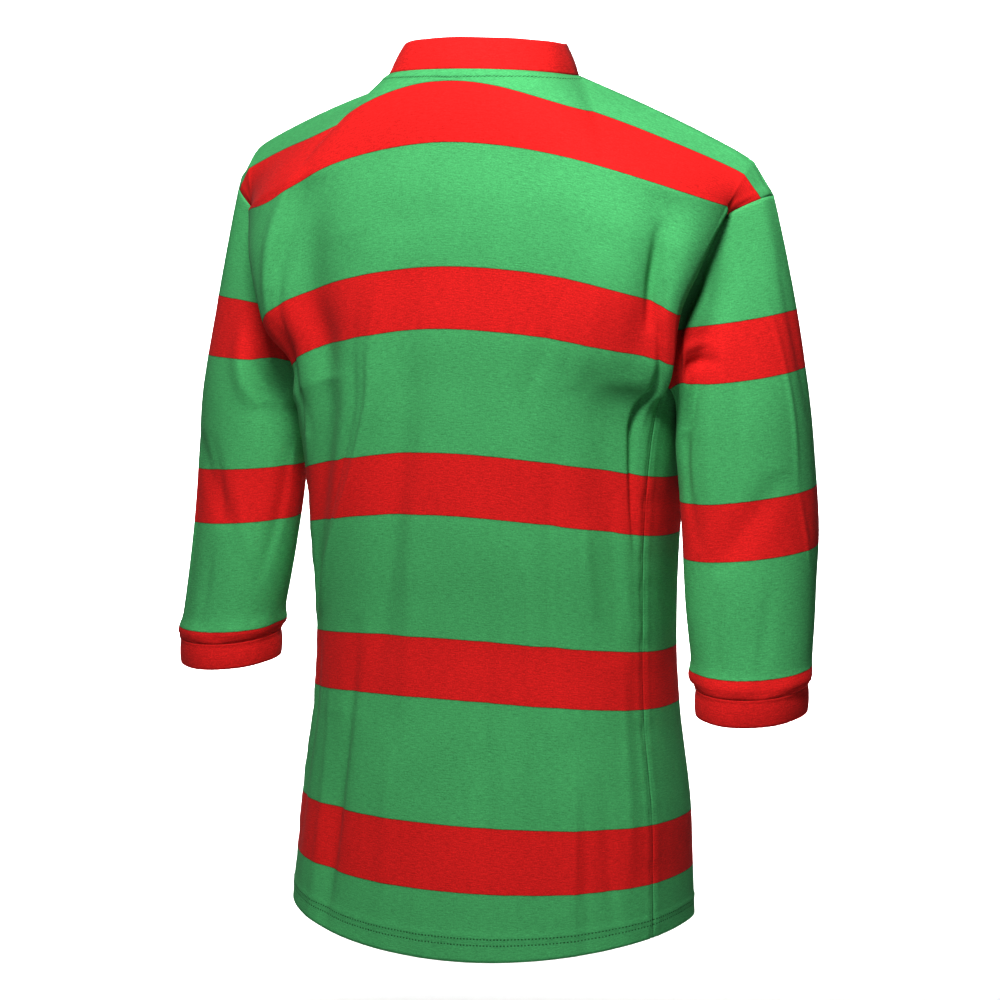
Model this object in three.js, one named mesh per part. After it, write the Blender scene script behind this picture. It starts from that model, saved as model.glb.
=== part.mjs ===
// A long-bodied rugby shirt with plain hoops, a V neck and three-quarter sleeves,
// standing in the hollow form that it keeps when it is worn.
// Millimetres. The front faces -Y, the wearer's left is +X and +Z is up.
// The origin is in the neck opening, level with the inner ends of the shoulder seams.
import * as THREE from 'three';

// Cloth
const CLOTH = 2;
const DOUBLED = 2.8;
const SEAM_GAP = 0.4;
const HEM_DEPTH = 24;

// Lengths along the cloth, measured down the centre of the back from the neck seam
const SHOULDER_END_T = -14;
const YOKE_T = 64;
const CHEST_T = 150;
const HANG_FRONT_T = 200;
const UNDERARM_T = 248;
const TORSO_BLEND_T = 225;
const TORSO_T = 290;
const HEM_T = 768;

// Neckline and shoulder seam
const NECK_HALF = 84;
const NECK_SIDE = { y: 8, z: -7 };
const NECK_BACK = { y: 83, z: 2 };
const NECK_V = { y: -98, z: -135 };
const NECK_SWAY = { x: -3, z: -3 };
const NECK_SHARE = 0.36;
const RIDGE_SHARE = 0.88;
const FRONT_RIDGE_TURN = 96;
const BACK_CREST = { x: 7, y: 2 };
const FRONT_CREST = { x: 3, y: -1 };
const SHOULDER = rows('share x y z', [
  [0, 84, 8, -7],
  [0.3, 138, 3, -26],
  [0.6, 192, -2, -49],
  [0.8, 229, -5, -67],
  [0.9, 246, -7, -82],
  [1, 261, -8, -104],
]);

// Rings round the body. drop is how far the sides hang below the centre, sag how far the
// front hangs below the back, and lean how far the wearer's left hangs below the middle,
// as the cloth sits a little unevenly.
const RINGS = rows('t z half back front middle square drop sag lean seam', [
  [64, -59, 240, 100, 96, 0, 2.6, 60, 0, 15, 80],
  [116, -110, 241, 107, 104, 0, 2.6, 53, 4, 15, 76],
  [168, -163, 236, 109, 112, 0, 2.6, 41, 10, 17, 73],
  [221, -216, 208, 108, 116, 1, 2.5, 31, 16, 14, 72],
  [274, -269, 183, 106, 118, 0, 2.4, 25, 20, 11, 72],
  [380, -377, 172, 103, 114, 0, 2.3, 15, 22, 7, 72],
  [486, -486, 169, 102, 108, -5, 2.3, 7, 20, 5, 72],
  [539, -539, 171, 105, 110, -5, 2.3, 5, 18, 5, 72],
  [646, -648, 183, 116, 114, -4, 2.3, -3, 14, 5, 72],
  [704, -705, 186, 123, 116, -2, 2.3, -8, 10, 5, 72],
  [768, -765, 189, 129, 118, 0, 2.3, -22, 4, 3, 72],
]);

// Armholes. The panel turns over at a ridge, and is sewn to the sleeve behind it.
const ARMHOLE_BACK = rows('t ridgeX ridgeY ridgeZ seamX seamY seamZ', [
  [-14, 243, -8, -79, 261, -8, -104],
  [11, 243, 8, -86, 257, 4, -107],
  [64, 235, 22, -121, 228, 16, -132],
  [116, 221, 57, -166, 213, 34, -170],
  [168, 206, 68, -210, 195, 42, -212],
  [221, 199, 62, -253, 186, 44, -252],
  [248, 187, 49, -286, 178, 36, -272],
]);
const ARMHOLE_FRONT = rows('t ridgeX ridgeY ridgeZ seamX seamY seamZ', [
  [-14, 243, -8, -79, 261, -8, -104],
  [64, 236, -36, -114, 239, -38, -124],
  [116, 214, -64, -165, 210, -62, -174],
  [168, 200, -78, -206, 196, -70, -212],
  [210, 189, -74, -248, 189, -56, -242],
  [232, 184, -36, -270, 187, -10, -258],
  [248, 182, 18, -283, 178, 36, -272],
]);

// How far the back of each armhole hangs off its even place: out, back and up
const HANG = rows('t leftX leftY leftZ rightX rightY rightZ', [
  [-14, 0, 0, 0, 0, 0, 0],
  [64, -3, 0, 4, -4, 0, -4],
  [116, -12, 0, 2, -1, 0, -4],
  [168, -17, 0, -2, 1, 0, -5],
  [221, -28, -14, 0, 3, 0, -2],
  [248, -12, -5, 0, 4, 0, 0],
]);

// Folds in the body. turn is the angle from centre back, positive towards the wearer's
// left; depth is positive for a ridge and negative for a trough.
const FOLDS = rows('top bottom turnTop turnBottom reach depth', [
  [130, 470, 4, 54, 5, 4],
  [130, 470, 14, 66, 7, -7],
  [140, 560, 0, 24, 6, -4],
  [70, 250, 23, 31, 7, -12],
  [70, 240, -46, -50, 7, -10],
  [250, 500, -48, -58, 8, -5],
  [580, 768, -39, -41, 5, 3],
  [560, 768, 40, 34, 9, -5],
  [120, 420, 172, 160, 8, -5],
  [260, 768, -168, -176, 9, -4],
  [120, 300, -140, -130, 8, -8],
  [120, 300, 140, 130, 8, -8],
  [420, 768, 140, 146, 10, -5],
  [420, 768, -126, -132, 10, -5],
]);

// Sleeve sections. wide and deep are half sizes, turn the angle of the wide way towards the
// front, tilt how far the back hangs below the middle, rise how far the outer side stands
// above it, and lift how much higher a whole section sits.
const SLEEVE = rows('fall x y wide deep turn tilt leftRise rightRise rightLift', [
  [315, 242, -8, 58, 49, 22, 0, -4, 8, 0],
  [385, 249, -5, 58, 46, 22, 1, -6, 7, 0],
  [440, 253, 2, 56, 45, 22, 2, -5, 5, 1],
  [500, 259, 10, 51.5, 45, 18, 4, -3, 3, 3],
  [520, 261, 14, 49, 46, 10, 5, -2, 2, 4],
]);
// The arms hang a little towards the wearer's left
const ARM_SWAY = 5;
const SLEEVE_TOP = 315;
const SLEEVE_END = 520;
// How the cloth of a sleeve leaves its armhole: outwards, more so under the arm
const LEAVE_OUT = 0.26;
const LEAVE_OUT_UNDER = 1.6;
const LEAVE_SPREAD = 240;
const LEAVE_REACH = 0.9;
const UNDER_FROM = 190;
const UNDER_TO = 262;
const SLEEVE_FOLDS = rows('top bottom turnTop turnBottom reach depth', [
  [130, 300, 62, 150, 14, -6],
  [200, 360, 100, 170, 12, -4],
  [330, 420, 60, 120, 14, -3],
  [250, 505, -8, -14, 9, 2],
]);
const CUFF_DEPTH = 24;
const CUFF_SET_IN = 1.5;
const BAND_HEIGHT = 26;
const BAND_LEAN = 14;
const BAND_FRONT = { lean: 8, drop: 4 };
const BAND_CENTRE = { x: 0, y: -8 };

// How finely each piece is divided
const NECK_STEPS = 7;
const SHOULDER_STEPS = 9;
const EDGE_STEPS = 3;
const OVER_STEPS = 7;
const BACK_HOLE_STEPS = 7;
const FRONT_HOLE_STEPS = 5;
const BODY_STEPS = 12;
const SLEEVE_CAP_STEPS = 7;
const SLEEVE_STEPS = 7;

const GREEN = 0x2f9a55;
const RED = 0xcf2127;

// Tables: a row for each section, read by column name
function rows(names, values) {
  const keys = names.split(' ');
  return values.map((row) => Object.fromEntries(keys.map((key, i) => [key, row[i]])));
}

// A monotone curve through one column of a table
function read(table, key, name, at) {
  const xs = table.map((row) => row[key]);
  const ys = table.map((row) => row[name]);
  const last = xs.length - 1;
  const steps = xs.slice(1).map((x, i) => x - xs[i]);
  const slopes = steps.map((h, i) => (ys[i + 1] - ys[i]) / h);
  const tangents = ys.map((_, i) => {
    if (i === 0) return slopes[0];
    if (i === last) return slopes[last - 1];
    if (slopes[i - 1] * slopes[i] <= 0) return 0;
    const before = 2 * steps[i] + steps[i - 1];
    const after = steps[i] + 2 * steps[i - 1];
    return (before + after) / (before / slopes[i - 1] + after / slopes[i]);
  });
  let i = 0;
  while (i < last - 1 && at >= xs[i + 1]) i += 1;
  const s = (at - xs[i]) / steps[i];
  const start = (1 + 2 * s) * (1 - s) ** 2 * ys[i] + s * (1 - s) ** 2 * steps[i] * tangents[i];
  const end = s * s * (3 - 2 * s) * ys[i + 1] + s * s * (s - 1) * steps[i] * tangents[i + 1];
  return start + end;
}

const vec = (x, y, z) => new THREE.Vector3(x, y, z);
const mixed = (a, b, share) => a.clone().lerp(b, share);
const radians = THREE.MathUtils.degToRad;
const clamp = THREE.MathUtils.clamp;
const smoothstep = THREE.MathUtils.smoothstep;
const spread = (from, to, steps) => Array.from({ length: steps + 1 }, (_, i) => from + ((to - from) * i) / steps);

// A point of the body's ring at cloth length t, turned from centre back by an angle in degrees
function ringPoint(t, turn, side) {
  const at = (name) => read(RINGS, 't', name, t);
  const power = 2 / at('square');
  const across = Math.abs(Math.sin(radians(turn))) ** power;
  const along = Math.cos(radians(turn));
  const depth = along >= 0 ? at('back') : at('front');
  const y = at('middle') + depth * Math.sign(along) * Math.abs(along) ** power;
  const uneven = at('lean') * across * side + (at('sag') * (1 - along)) / 2;
  const z = at('z') - at('drop') * across ** 1.8 - uneven;
  return vec(at('half') * across, y, z);
}

function armholePoint(isBack, kind, t, side) {
  const held = Math.min(t, UNDERARM_T);
  const at = (name) => read(isBack ? ARMHOLE_BACK : ARMHOLE_FRONT, 't', name, held);
  const hang = ['X', 'Y', 'Z'].map((axis) => read(HANG, 't', (side > 0 ? 'left' : 'right') + axis, held));
  const sunk = t > SHOULDER_END_T ? read(RINGS, 't', 'lean', clamp(t, YOKE_T, UNDERARM_T)) * side : 0;
  const share = clamp((t - SHOULDER_END_T) / (YOKE_T - SHOULDER_END_T), 0, 1);
  return vec(at(`${kind}X`), at(`${kind}Y`), at(`${kind}Z`) - sunk * share)
    .addScaledVector(vec(...hang), isBack ? 1 : smoothstep(held, HANG_FRONT_T, UNDERARM_T));
}

// One point of a full row. share runs from the centre line, 0, to the seam, 1.
function bodyPoint(isBack, t, share, side) {
  const seamTurn = read(RINGS, 't', 'seam', t);
  const towardsRidge = Math.min(share / RIDGE_SHARE, 1);
  const pastRidge = clamp((share - RIDGE_SHARE) / (1 - RIDGE_SHARE), 0, 1);
  const plain = ringPoint(t, isBack ? share * seamTurn : 180 - share * (180 - seamTurn), side);
  if (t >= TORSO_T) return plain;
  const ridgeTurn = isBack ? seamTurn : FRONT_RIDGE_TURN;
  const turn = isBack ? towardsRidge * ridgeTurn : 180 - towardsRidge * (180 - ridgeTurn);
  const ridge = armholePoint(isBack, 'ridge', t, side);
  const seam = armholePoint(isBack, 'seam', t, side);
  const stretch = ridge.clone().sub(ringPoint(t, ridgeTurn, side)).multiplyScalar(towardsRidge ** 2);
  const upper = ringPoint(t, turn, side).add(stretch);
  if (share > RIDGE_SHARE) {
    const push = isBack ? BACK_CREST : FRONT_CREST;
    const crest = mixed(ridge, seam, 0.5).add(vec(push.x, push.y, 0));
    upper.copy(new THREE.QuadraticBezierCurve3(ridge, crest, seam).getPoint(pastRidge));
  }
  return mixed(upper, plain, smoothstep(t, TORSO_BLEND_T, TORSO_T));
}

// The neckline sits a little towards the wearer's right
function swayed(point, share, round) {
  return point.add(vec(NECK_SWAY.x * share, 0, NECK_SWAY.z * share * round));
}

// The neckline and then the shoulder seam, from the centre line out to the armhole
function topEdge(isBack, share, side) {
  const round = clamp(share / NECK_SHARE, 0, 1);
  if (share <= NECK_SHARE && isBack) {
    const turn = (round * Math.PI) / 2;
    const y = NECK_SIDE.y + (NECK_BACK.y - NECK_SIDE.y) * Math.cos(turn) ** 0.6;
    const z = NECK_BACK.z + (NECK_SIDE.z - NECK_BACK.z) * round ** 2;
    return swayed(vec(NECK_HALF * Math.sin(turn), y, z), side, round);
  }
  if (share <= NECK_SHARE) {
    const y = NECK_V.y + (NECK_SIDE.y - NECK_V.y) * round ** 1.25;
    const z = NECK_SIDE.z + (NECK_V.z - NECK_SIDE.z) * (1 - round) ** 0.9;
    return swayed(vec(NECK_HALF * round ** 0.9, y, z), side, round);
  }
  const along = (share - NECK_SHARE) / (1 - NECK_SHARE);
  const at = (name) => read(SHOULDER, 'share', name, along);
  return swayed(vec(at('x'), at('y'), at('z')), side * (1 - along) ** 2, 1);
}

// A point between the top edge and the first full row, over the shoulder
function overPoint(isBack, down, share, side) {
  const firstT = isBack ? YOKE_T : CHEST_T;
  const top = topEdge(isBack, share, side);
  const full = bodyPoint(isBack, firstT, share, side);
  const turn = (down * Math.PI) / 2;
  const out = 0.6 * down + 0.4 * Math.sin(turn);
  const drop = 0.75 * down + 0.25 * (1 - Math.cos(turn));
  const point = vec(top.x + (full.x - top.x) * out, top.y + (full.y - top.y) * out, top.z + (full.z - top.z) * drop);
  const edgeT = SHOULDER_END_T + (firstT - SHOULDER_END_T) * down;
  const pastRidge = clamp((share - RIDGE_SHARE) / (1 - RIDGE_SHARE), 0, 1);
  const edge = mixed(armholePoint(isBack, 'ridge', edgeT, side), armholePoint(isBack, 'seam', edgeT, side), pastRidge);
  return mixed(point, edge, Math.min(share / RIDGE_SHARE, 1) ** 6);
}

// How far the folds of a table lift a point that lies at a given length and turn
function foldLift(table, length, turn) {
  return table.reduce((lift, fold) => {
    const along = (length - fold.top) / (fold.bottom - fold.top);
    if (along <= 0 || along >= 1) return lift;
    const away = (turn - fold.turnTop - (fold.turnBottom - fold.turnTop) * along) / fold.reach;
    return lift + fold.depth * Math.exp(-away * away) * Math.sin(Math.PI * along) ** 0.7;
  }, 0);
}

// A grid of points with the way out of the cloth at each: rows run down, columns across
function sheet(points, closed, outward) {
  const wrap = (c) => (closed ? (c + points[0].length) % points[0].length : clamp(c, 0, points[0].length - 1));
  const normals = points.map((row, r) => row.map((_, c) => {
    const below = points[Math.min(r + 1, points.length - 1)][c];
    const above = points[Math.max(r - 1, 0)][c];
    const down = below.clone().sub(above);
    const across = points[r][wrap(c + 1)].clone().sub(points[r][wrap(c - 1)]);
    return across.cross(down).multiplyScalar(outward).normalize();
  }));
  return { points, normals, closed, outward, shifts: points.map((row) => row.map(() => vec(0, 0, 0))) };
}

function lift(grid, amount) {
  grid.points.forEach((row, r) => row.forEach((point, c) => point.addScaledVector(grid.normals[r][c], amount(r, c))));
  return sheet(grid.points, grid.closed, grid.outward);
}

// A front or back panel from seam to seam
const halfShares = [
  ...spread(0, NECK_SHARE, NECK_STEPS),
  ...spread(NECK_SHARE, RIDGE_SHARE, SHOULDER_STEPS).slice(1),
  ...spread(RIDGE_SHARE, 1, EDGE_STEPS).slice(1),
];
const acrossShares = [...halfShares.slice(1).reverse().map((share) => -share), ...halfShares];

function panel(isBack) {
  const firstT = isBack ? YOKE_T : CHEST_T;
  const over = spread(0, 1, OVER_STEPS).slice(0, -1);
  const hole = spread(firstT, UNDERARM_T, isBack ? BACK_HOLE_STEPS : FRONT_HOLE_STEPS);
  const body = spread(UNDERARM_T, HEM_T, BODY_STEPS).slice(1);
  const lengths = [...hole, ...body];
  const place = (share, find) => {
    const side = share < 0 ? -1 : 1;
    const point = find(Math.abs(share), side);
    return vec(point.x * side, point.y, point.z);
  };
  const points = [
    ...over.map((down) => acrossShares.map((share) => place(share, (s, side) => overPoint(isBack, down, s, side)))),
    ...lengths.map((t) => acrossShares.map((share) => place(share, (s, side) => bodyPoint(isBack, t, s, side)))),
  ];
  const grid = lift(sheet(points, false, isBack ? 1 : -1), (r, c) => {
    const share = Math.abs(acrossShares[c]);
    const t = r < over.length ? firstT * over[r] : lengths[r - over.length];
    const seamTurn = read(RINGS, 't', 'seam', Math.max(t, YOKE_T));
    const turn = (isBack ? share * seamTurn : 180 - share * (180 - seamTurn)) * (acrossShares[c] < 0 ? -1 : 1);
    return foldLift(FOLDS, t, turn) * (1 - smoothstep(share, 0.8, 0.94));
  });
  grid.holeRows = over.length + hole.length - 1;
  grid.thickness = (r) => (r >= over.length && lengths[r - over.length] > HEM_T - HEM_DEPTH ? DOUBLED : CLOTH);
  return grid;
}

// Section of a sleeve, so far below the origin; turn 0 is the outer side, a quarter turn the back
function sleevePoint(fall, turn, side) {
  const at = (name) => read(SLEEVE, 'fall', name, fall);
  const rise = at(side > 0 ? 'leftRise' : 'rightRise');
  const lift = side > 0 ? 0 : at('rightLift');
  const wide = vec(Math.cos(radians(at('turn'))), -Math.sin(radians(at('turn'))), 0).multiplyScalar(at('wide'));
  const deep = vec(Math.sin(radians(at('turn'))), Math.cos(radians(at('turn'))), 0).multiplyScalar(at('deep'));
  return vec(at('x') + ARM_SWAY * side, at('y'), lift + rise * Math.cos(turn) - at('tilt') * Math.sin(turn) - fall)
    .addScaledVector(wide, Math.cos(turn))
    .addScaledVector(deep, Math.sin(turn));
}

// Columns of the panels that carry a side's armhole, as lists of grid places
function armholePlaces(grid, side) {
  const column = side < 0 ? 0 : acrossShares.length - 1;
  return Array.from({ length: grid.holeRows + 1 }, (_, r) => [r, column]);
}

function sleeve(side, back, front) {
  const backPlaces = armholePlaces(back, side);
  const frontPlaces = armholePlaces(front, side).slice(1, -1).reverse();
  const hole = [...backPlaces.map(([r, c]) => back.points[r][c]), ...frontPlaces.map(([r, c]) => front.points[r][c])]
    .map((point) => vec(point.x * side, point.y, point.z));
  const backSteps = backPlaces.length - 1;
  const frontSteps = frontPlaces.length + 1;
  const turns = hole.map((_, i) => (i <= backSteps
    ? (Math.PI * i) / backSteps
    : Math.PI + (Math.PI * (i - backSteps)) / frontSteps));
  const middle = hole.reduce((sum, point) => sum.add(point), vec(0, 0, 0)).divideScalar(hole.length);
  const cap = spread(0, 1, SLEEVE_CAP_STEPS).slice(0, -1).map((s) => hole.map((start, i) => {
    const end = sleevePoint(SLEEVE_TOP, turns[i], side);
    const below = sleevePoint(SLEEVE_TOP + 10, turns[i], side);
    const reach = start.distanceTo(end);
    const under = smoothstep(-start.z, UNDER_FROM, UNDER_TO);
    const out = LEAVE_OUT + LEAVE_OUT_UNDER * under;
    const leave = vec(out, (start.y - middle.y) / LEAVE_SPREAD, -1).normalize().multiplyScalar(reach * LEAVE_REACH);
    const arrive = below.sub(end).normalize().multiplyScalar(reach);
    return start.clone().multiplyScalar(2 * s ** 3 - 3 * s ** 2 + 1)
      .addScaledVector(leave, s ** 3 - 2 * s ** 2 + s)
      .addScaledVector(end, 3 * s ** 2 - 2 * s ** 3)
      .addScaledVector(arrive, s ** 3 - s ** 2);
  }));
  const falls = spread(SLEEVE_TOP, SLEEVE_END, SLEEVE_STEPS);
  const tube = falls.map((fall) => turns.map((turn) => sleevePoint(fall, turn, side)));
  const points = [...cap, ...tube].map((row) => row.map((point) => vec(point.x * side, point.y, point.z)));
  const outward = -side;
  const grid = lift(sheet(points, true, outward), (r, c) => {
    const degrees = THREE.MathUtils.radToDeg(turns[c]);
    const turn = degrees > 180 ? degrees - 360 : degrees;
    const edge = smoothstep(r, 0, 3) * smoothstep(points.length - 1 - r, 0, 2);
    return foldLift(SLEEVE_FOLDS, -points[r][c].z, turn) * edge;
  });
  grid.turns = turns;
  grid.thickness = () => CLOTH;
  return grid;
}

function cuff(side, sleeveGrid) {
  const end = SLEEVE[SLEEVE.length - 1];
  const centre = { x: end.x + ARM_SWAY * side, y: end.y };
  const bottom = spread(0, 1, 2).map((down) => sleeveGrid.turns.map((turn) => {
    const point = sleevePoint(SLEEVE_END, turn, side);
    const outward = vec(point.x - centre.x, point.y - centre.y, 0).normalize();
    point.addScaledVector(outward, down > 0 ? -CUFF_SET_IN * (1 - down * 0.4) : 0);
    return vec(point.x * side, point.y, point.z - CUFF_DEPTH * down);
  }));
  const grid = sheet(bottom, true, -side);
  grid.thickness = () => DOUBLED;
  return grid;
}

// The neckband stands up from the neckline and leans in towards the neck
function neckband(back, front) {
  const middle = (acrossShares.length - 1) / 2;
  const backBase = spread(-NECK_STEPS, NECK_STEPS, 2 * NECK_STEPS).map((i) => back.points[0][middle + i]);
  const frontBase = spread(NECK_STEPS - 1, 1 - NECK_STEPS, 2 * NECK_STEPS - 2).map((i) => front.points[0][middle + i]);
  const base = [...backBase, ...frontBase];
  const points = spread(0, 1, 2).map((up) => base.map((point) => {
    const inward = vec(BAND_CENTRE.x - point.x, BAND_CENTRE.y - point.y, 0).normalize();
    const frontShare = clamp((NECK_SIDE.y - point.y) / (NECK_SIDE.y - NECK_V.y), 0, 1);
    const lean = BAND_LEAN + BAND_FRONT.lean * frontShare;
    const height = BAND_HEIGHT - BAND_FRONT.drop * frontShare;
    return point.clone().addScaledVector(inward, lean * up).add(vec(0, 0, height * up));
  }));
  const grid = sheet(points, true, -1);
  grid.thickness = () => DOUBLED;
  return grid;
}

// Seams. Pieces that meet share the way into the cloth, and stand a gap apart.
function shareNormals(grids) {
  const meeting = new Map();
  grids.forEach((grid) => grid.points.forEach((row, r) => row.forEach((point, c) => {
    const key = [point.x, point.y, point.z].map((value) => value.toFixed(2)).join(' ');
    if (!meeting.has(key)) meeting.set(key, []);
    meeting.get(key).push(grid.normals[r][c]);
  })));
  meeting.forEach((normals) => {
    const shared = normals.reduce((sum, normal) => sum.add(normal), vec(0, 0, 0)).normalize();
    normals.forEach((normal) => normal.copy(shared));
  });
}

function part(grid, places, interior, other, otherPlaces) {
  places.forEach(([r, c], i) => {
    const before = places[Math.max(i - 1, 0)];
    const after = places[Math.min(i + 1, places.length - 1)];
    const along = grid.points[after[0]][after[1]].clone().sub(grid.points[before[0]][before[1]]);
    const across = along.cross(grid.normals[r][c]).normalize();
    const [ri, ci] = interior(r, c);
    const inside = grid.points[ri][ci].clone().sub(grid.points[r][c]);
    const way = Math.sign(across.dot(inside)) || 1;
    grid.shifts[r][c].addScaledVector(across, (way * SEAM_GAP) / 2);
    const [ro, co] = otherPlaces[i];
    other.shifts[ro][co].addScaledVector(across, (-way * SEAM_GAP) / 2);
  });
}

// A closed wall: the outer face, the inner face and the rims between them
function wall(grid) {
  const height = grid.points.length;
  const width = grid.points[0].length;
  const outer = grid.points.map((row, r) => row.map((point, c) => point.clone().add(grid.shifts[r][c])));
  const inner = outer.map((row, r) => row.map((point, c) => (
    point.clone().addScaledVector(grid.normals[r][c], -grid.thickness(r)))));
  const corners = [...outer.flat(), ...inner.flat()].flatMap((point) => point.toArray());
  const out = (r, c) => r * width + (c % width);
  const into = (r, c) => out(r, c) + height * width;
  const faces = [];
  const quad = (a, b, c, d) => {
    faces.push(...(grid.outward > 0 ? [a, d, c, a, c, b] : [a, b, c, a, c, d]));
  };
  const columns = grid.closed ? width : width - 1;
  // Two rims that face each other across a seam have the same corners, so they are split alike
  const corner = outer.flat();
  const cornerOrder = (index) => corner[index].z + 0.4 * corner[index].y + 0.3 * Math.abs(corner[index].x);
  const rim = (a, b, c, d) => (cornerOrder(a) < cornerOrder(b) ? quad(a, b, c, d) : quad(b, c, d, a));
  for (let c = 0; c < columns; c += 1) {
    for (let r = 0; r < height - 1; r += 1) {
      quad(out(r, c), out(r + 1, c), out(r + 1, c + 1), out(r, c + 1));
      quad(into(r, c), into(r, c + 1), into(r + 1, c + 1), into(r + 1, c));
    }
    rim(out(0, c), out(0, c + 1), into(0, c + 1), into(0, c));
    rim(out(height - 1, c + 1), out(height - 1, c), into(height - 1, c), into(height - 1, c + 1));
  }
  for (let r = 0; r < height - 1 && !grid.closed; r += 1) {
    rim(out(r + 1, 0), out(r, 0), into(r, 0), into(r + 1, 0));
    rim(out(r, width - 1), out(r + 1, width - 1), into(r + 1, width - 1), into(r, width - 1));
  }
  const geometry = new THREE.BufferGeometry();
  geometry.setAttribute('position', new THREE.Float32BufferAttribute(corners, 3));
  geometry.setIndex(faces);
  geometry.computeVertexNormals();
  return geometry;
}

const back = panel(true);
const front = panel(false);
const sleeves = [1, -1].map((side) => sleeve(side, back, front));
const cuffs = [1, -1].map((side, i) => cuff(side, sleeves[i]));
const band = neckband(back, front);
shareNormals([back, front, ...sleeves, ...cuffs, band]);

// Shoulder seams and neck seam
const lastColumn = acrossShares.length - 1;
const centreColumn = lastColumn / 2;
const below = (r, c) => [r + 1, c];
const topPlaces = (from, to) => spread(from, to, Math.abs(to - from)).map((c) => [0, c]);
part(back, topPlaces(0, centreColumn - NECK_STEPS), below, front, topPlaces(0, centreColumn - NECK_STEPS));
part(back, topPlaces(centreColumn + NECK_STEPS, lastColumn), below, front,
  topPlaces(centreColumn + NECK_STEPS, lastColumn));
const backNeck = topPlaces(centreColumn - NECK_STEPS, centreColumn + NECK_STEPS);
const frontNeck = topPlaces(centreColumn + NECK_STEPS, centreColumn - NECK_STEPS);
part(back, backNeck, below, band, backNeck.map((_, i) => [0, i]));
part(front, frontNeck, below, band, frontNeck.map((_, i) => [0, (2 * NECK_STEPS + i) % (4 * NECK_STEPS)]));

// Side seams, armholes and cuff seams
[1, -1].forEach((side, i) => {
  const column = side < 0 ? 0 : lastColumn;
  const inner = (r, c) => [r, c - side];
  const sideRows = spread(0, BODY_STEPS, BODY_STEPS);
  part(back, sideRows.map((r) => [back.holeRows + r, column]), inner, front,
    sideRows.map((r) => [front.holeRows + r, column]));
  const backHole = armholePlaces(back, side);
  const frontHole = armholePlaces(front, side);
  const around = sleeves[i].turns.length;
  part(back, backHole, inner, sleeves[i], backHole.map((_, k) => [0, k]));
  part(front, frontHole, inner, sleeves[i], frontHole.map((_, k) => [0, (around - k) % around]));
  const end = sleeves[i].points.length - 1;
  const ring = sleeves[i].turns.map((_, k) => [end, k]);
  part(sleeves[i], ring, (r, c) => [r - 1, c], cuffs[i], ring.map(([, k]) => [0, k]));
});

function piece(name, grid, color) {
  const material = new THREE.MeshStandardMaterial({ color, roughness: 0.9, metalness: 0 });
  const mesh = new THREE.Mesh(wall(grid), material);
  mesh.name = name;
  return mesh;
}

const shirt = new THREE.Group();
shirt.add(
  piece('back_panel', back, GREEN),
  piece('front_panel', front, GREEN),
  piece('left_sleeve', sleeves[0], GREEN),
  piece('right_sleeve', sleeves[1], GREEN),
  piece('left_cuff', cuffs[0], RED),
  piece('right_cuff', cuffs[1], RED),
  piece('neckband', band, RED),
);

export default shirt;
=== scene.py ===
import math

import bpy
import numpy as np
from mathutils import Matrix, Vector


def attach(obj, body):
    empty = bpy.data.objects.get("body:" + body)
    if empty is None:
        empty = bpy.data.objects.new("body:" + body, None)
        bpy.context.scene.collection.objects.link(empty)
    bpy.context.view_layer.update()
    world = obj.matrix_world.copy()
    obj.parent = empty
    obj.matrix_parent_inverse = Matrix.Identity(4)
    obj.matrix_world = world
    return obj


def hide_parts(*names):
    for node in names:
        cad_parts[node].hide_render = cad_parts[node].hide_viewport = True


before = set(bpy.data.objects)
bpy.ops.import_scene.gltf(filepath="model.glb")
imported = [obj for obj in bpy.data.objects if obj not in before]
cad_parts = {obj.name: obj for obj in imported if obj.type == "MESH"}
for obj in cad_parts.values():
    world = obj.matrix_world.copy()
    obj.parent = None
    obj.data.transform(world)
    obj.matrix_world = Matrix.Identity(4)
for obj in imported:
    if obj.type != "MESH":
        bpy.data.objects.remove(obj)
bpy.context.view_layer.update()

# A long rugby shirt in plain hoops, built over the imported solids. Its forms are worked out
# in millimetres from the sizes of the solids, with slightly rounder shoulders, on a finer
# grid, and every mesh is made in metres. The front faces -Y, the wearer's left is +X and
# +Z is up.
METRES = 0.001

# Camera: behind the wearer, towards the wearer's right
CAMERA_AZIMUTH = 207.0
CAMERA_ELEVATION = 9.5
CAMERA_DISTANCE = 2690.0
CAMERA_TARGET = (-6.3, -3.2, -379.0)
CAMERA_LENS = 109.1
CAMERA_SENSOR = 36.0


def make_camera():
    azimuth, elevation = math.radians(CAMERA_AZIMUTH), math.radians(CAMERA_ELEVATION)
    back = Vector((math.sin(azimuth) * math.cos(elevation),
                   -math.cos(azimuth) * math.cos(elevation),
                   math.sin(elevation)))
    data = bpy.data.cameras.new("camera")
    data.lens = CAMERA_LENS
    data.sensor_width = CAMERA_SENSOR
    data.clip_start = 0.1
    data.clip_end = 30.0
    camera = bpy.data.objects.new("camera", data)
    bpy.context.collection.objects.link(camera)
    camera.location = (Vector(CAMERA_TARGET) + back * CAMERA_DISTANCE) * METRES
    camera.rotation_mode = "QUATERNION"
    camera.rotation_quaternion = (-back).to_track_quat("-Z", "Y")
    bpy.context.scene.camera = camera


# Cloth thicknesses and lengths along the cloth, measured down the centre of the back
CLOTH = 1.7
DOUBLED = 2.6
HEM_DEPTH = 24
NECK_SIDE_T = -28
SHOULDER_END_T = -14
YOKE_T = 64
CHEST_T = 150
HANG_FRONT_T = 200
UNDERARM_T = 248
TORSO_BLEND_T = 225
TORSO_T = 290
HEM_T = 768
FRONT_V_T = 126

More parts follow.
